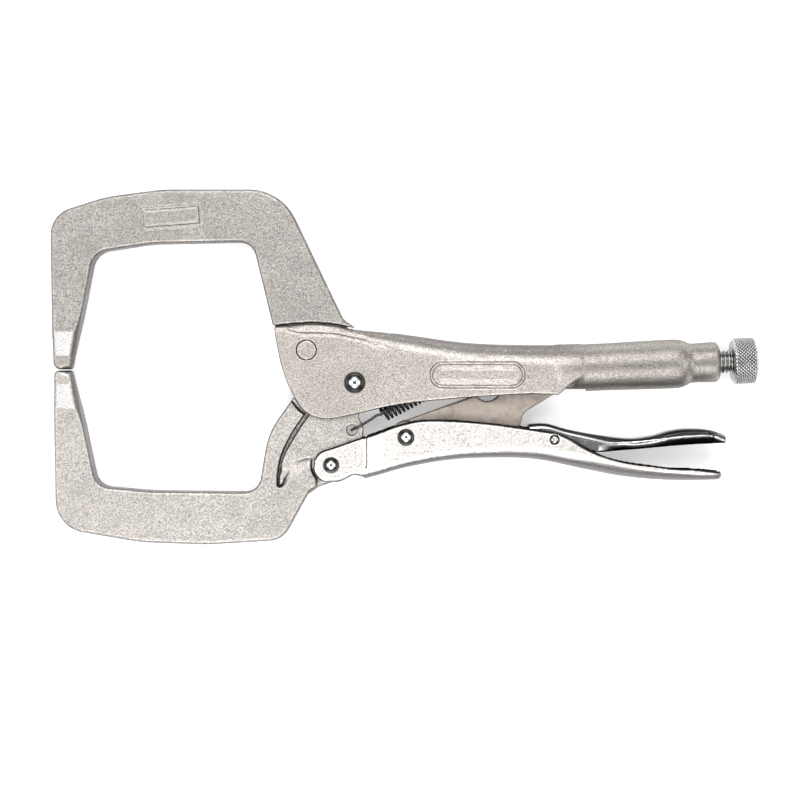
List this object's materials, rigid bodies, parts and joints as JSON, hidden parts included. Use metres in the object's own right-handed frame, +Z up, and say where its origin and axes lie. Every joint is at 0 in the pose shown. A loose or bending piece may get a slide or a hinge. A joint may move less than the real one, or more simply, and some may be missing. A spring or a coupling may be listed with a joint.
{
  "type": "locking c-clamp pliers",
  "caption": "Locking pliers with C-shaped jaws, a stamped upper handle with a knurled adjusting screw, and a lower handle with toggle link and release lever.",
  "frame": {"origin": "middle of the underside of the tool's box, lying on its side with the jaws closed and locked", "axes": "+X from the jaws to the adjusting knob, +Y from the lower handle to the upper handle, +Z up through the thickness, along every hinge"},
  "size_m": [0.279, 0.14, 0.0194],
  "materials": {
    "nickel_plate": "grainy matte nickel plate",
    "satin_plate": "satin nickel plate",
    "bright_chrome": "polished",
    "forged_link": "matte heat-treated steel",
    "spring_wire": "dark oiled spring wire",
    "turned_steel": "bright turned and knurled steel"
  },
  "bodies": {
    "upper_handle": {"upper_handle": "nickel_plate", "upper_jaw": "nickel_plate", "fixed_jaw_rivet": "nickel_plate", "jaw_pivot_rivet": "bright_chrome", "tension_spring": "spring_wire"},
    "lower_jaw": {"lower_jaw": "nickel_plate"},
    "lower_handle": {"lower_handle": "satin_plate", "handle_rivet": "bright_chrome", "link_rivet": "bright_chrome", "release_pin": "bright_chrome"},
    "toggle_link": {"toggle_link": "forged_link"},
    "release_lever": {"release_lever": "bright_chrome"},
    "adjusting_screw": {"adjusting_screw": "turned_steel"},
    "screw_knob": {"screw_knob": "turned_steel"}
  },
  "joints": [
    {"name": "jaw_pivot", "type": "hinge", "parent": "upper_handle", "child": "lower_jaw", "pos_m": [-0.01957, -0.00613, 0.0097], "axis": [0, 0, 1], "range_deg": [0, 28], "deforming": ["tension_spring"]},
    {"name": "handle_pivot", "type": "hinge", "parent": "lower_jaw", "child": "lower_handle", "pos_m": [-0.02887, -0.03864, 0.0097], "axis": [0, 0, 1], "range_deg": [-75.1, 0]},
    {"name": "link_pivot", "type": "hinge", "parent": "lower_handle", "child": "toggle_link", "pos_m": [0.00063, -0.02763, 0.0097], "axis": [0, 0, 1], "range_deg": [0, 72.9]},
    {"name": "lever_pivot", "type": "hinge", "parent": "lower_handle", "child": "release_lever", "pos_m": [0.05893, -0.02854, 0.0097], "axis": [0, 0, -1], "range_deg": [0, 7]},
    {"name": "screw_feed", "type": "slide", "parent": "upper_handle", "child": "adjusting_screw", "axis": [0.999, 0.0436, 0], "range_m": [-0.00317, 0.01588]},
    {"name": "knob_turn", "type": "hinge", "parent": "adjusting_screw", "child": "screw_knob", "pos_m": [0.13911, 0.00262, 0.0097], "axis": [0.999, 0.0436, 0], "range_deg": [-721, 3601]}
  ],
  "couplings": [
    {"joint": "handle_pivot", "follows": "jaw_pivot", "ratio": -2.68},
    {"joint": "link_pivot", "follows": "jaw_pivot", "ratio": 2.6},
    {"joint": "knob_turn", "follows": "screw_feed", "rad_per_m": 3957.9}
  ]
}
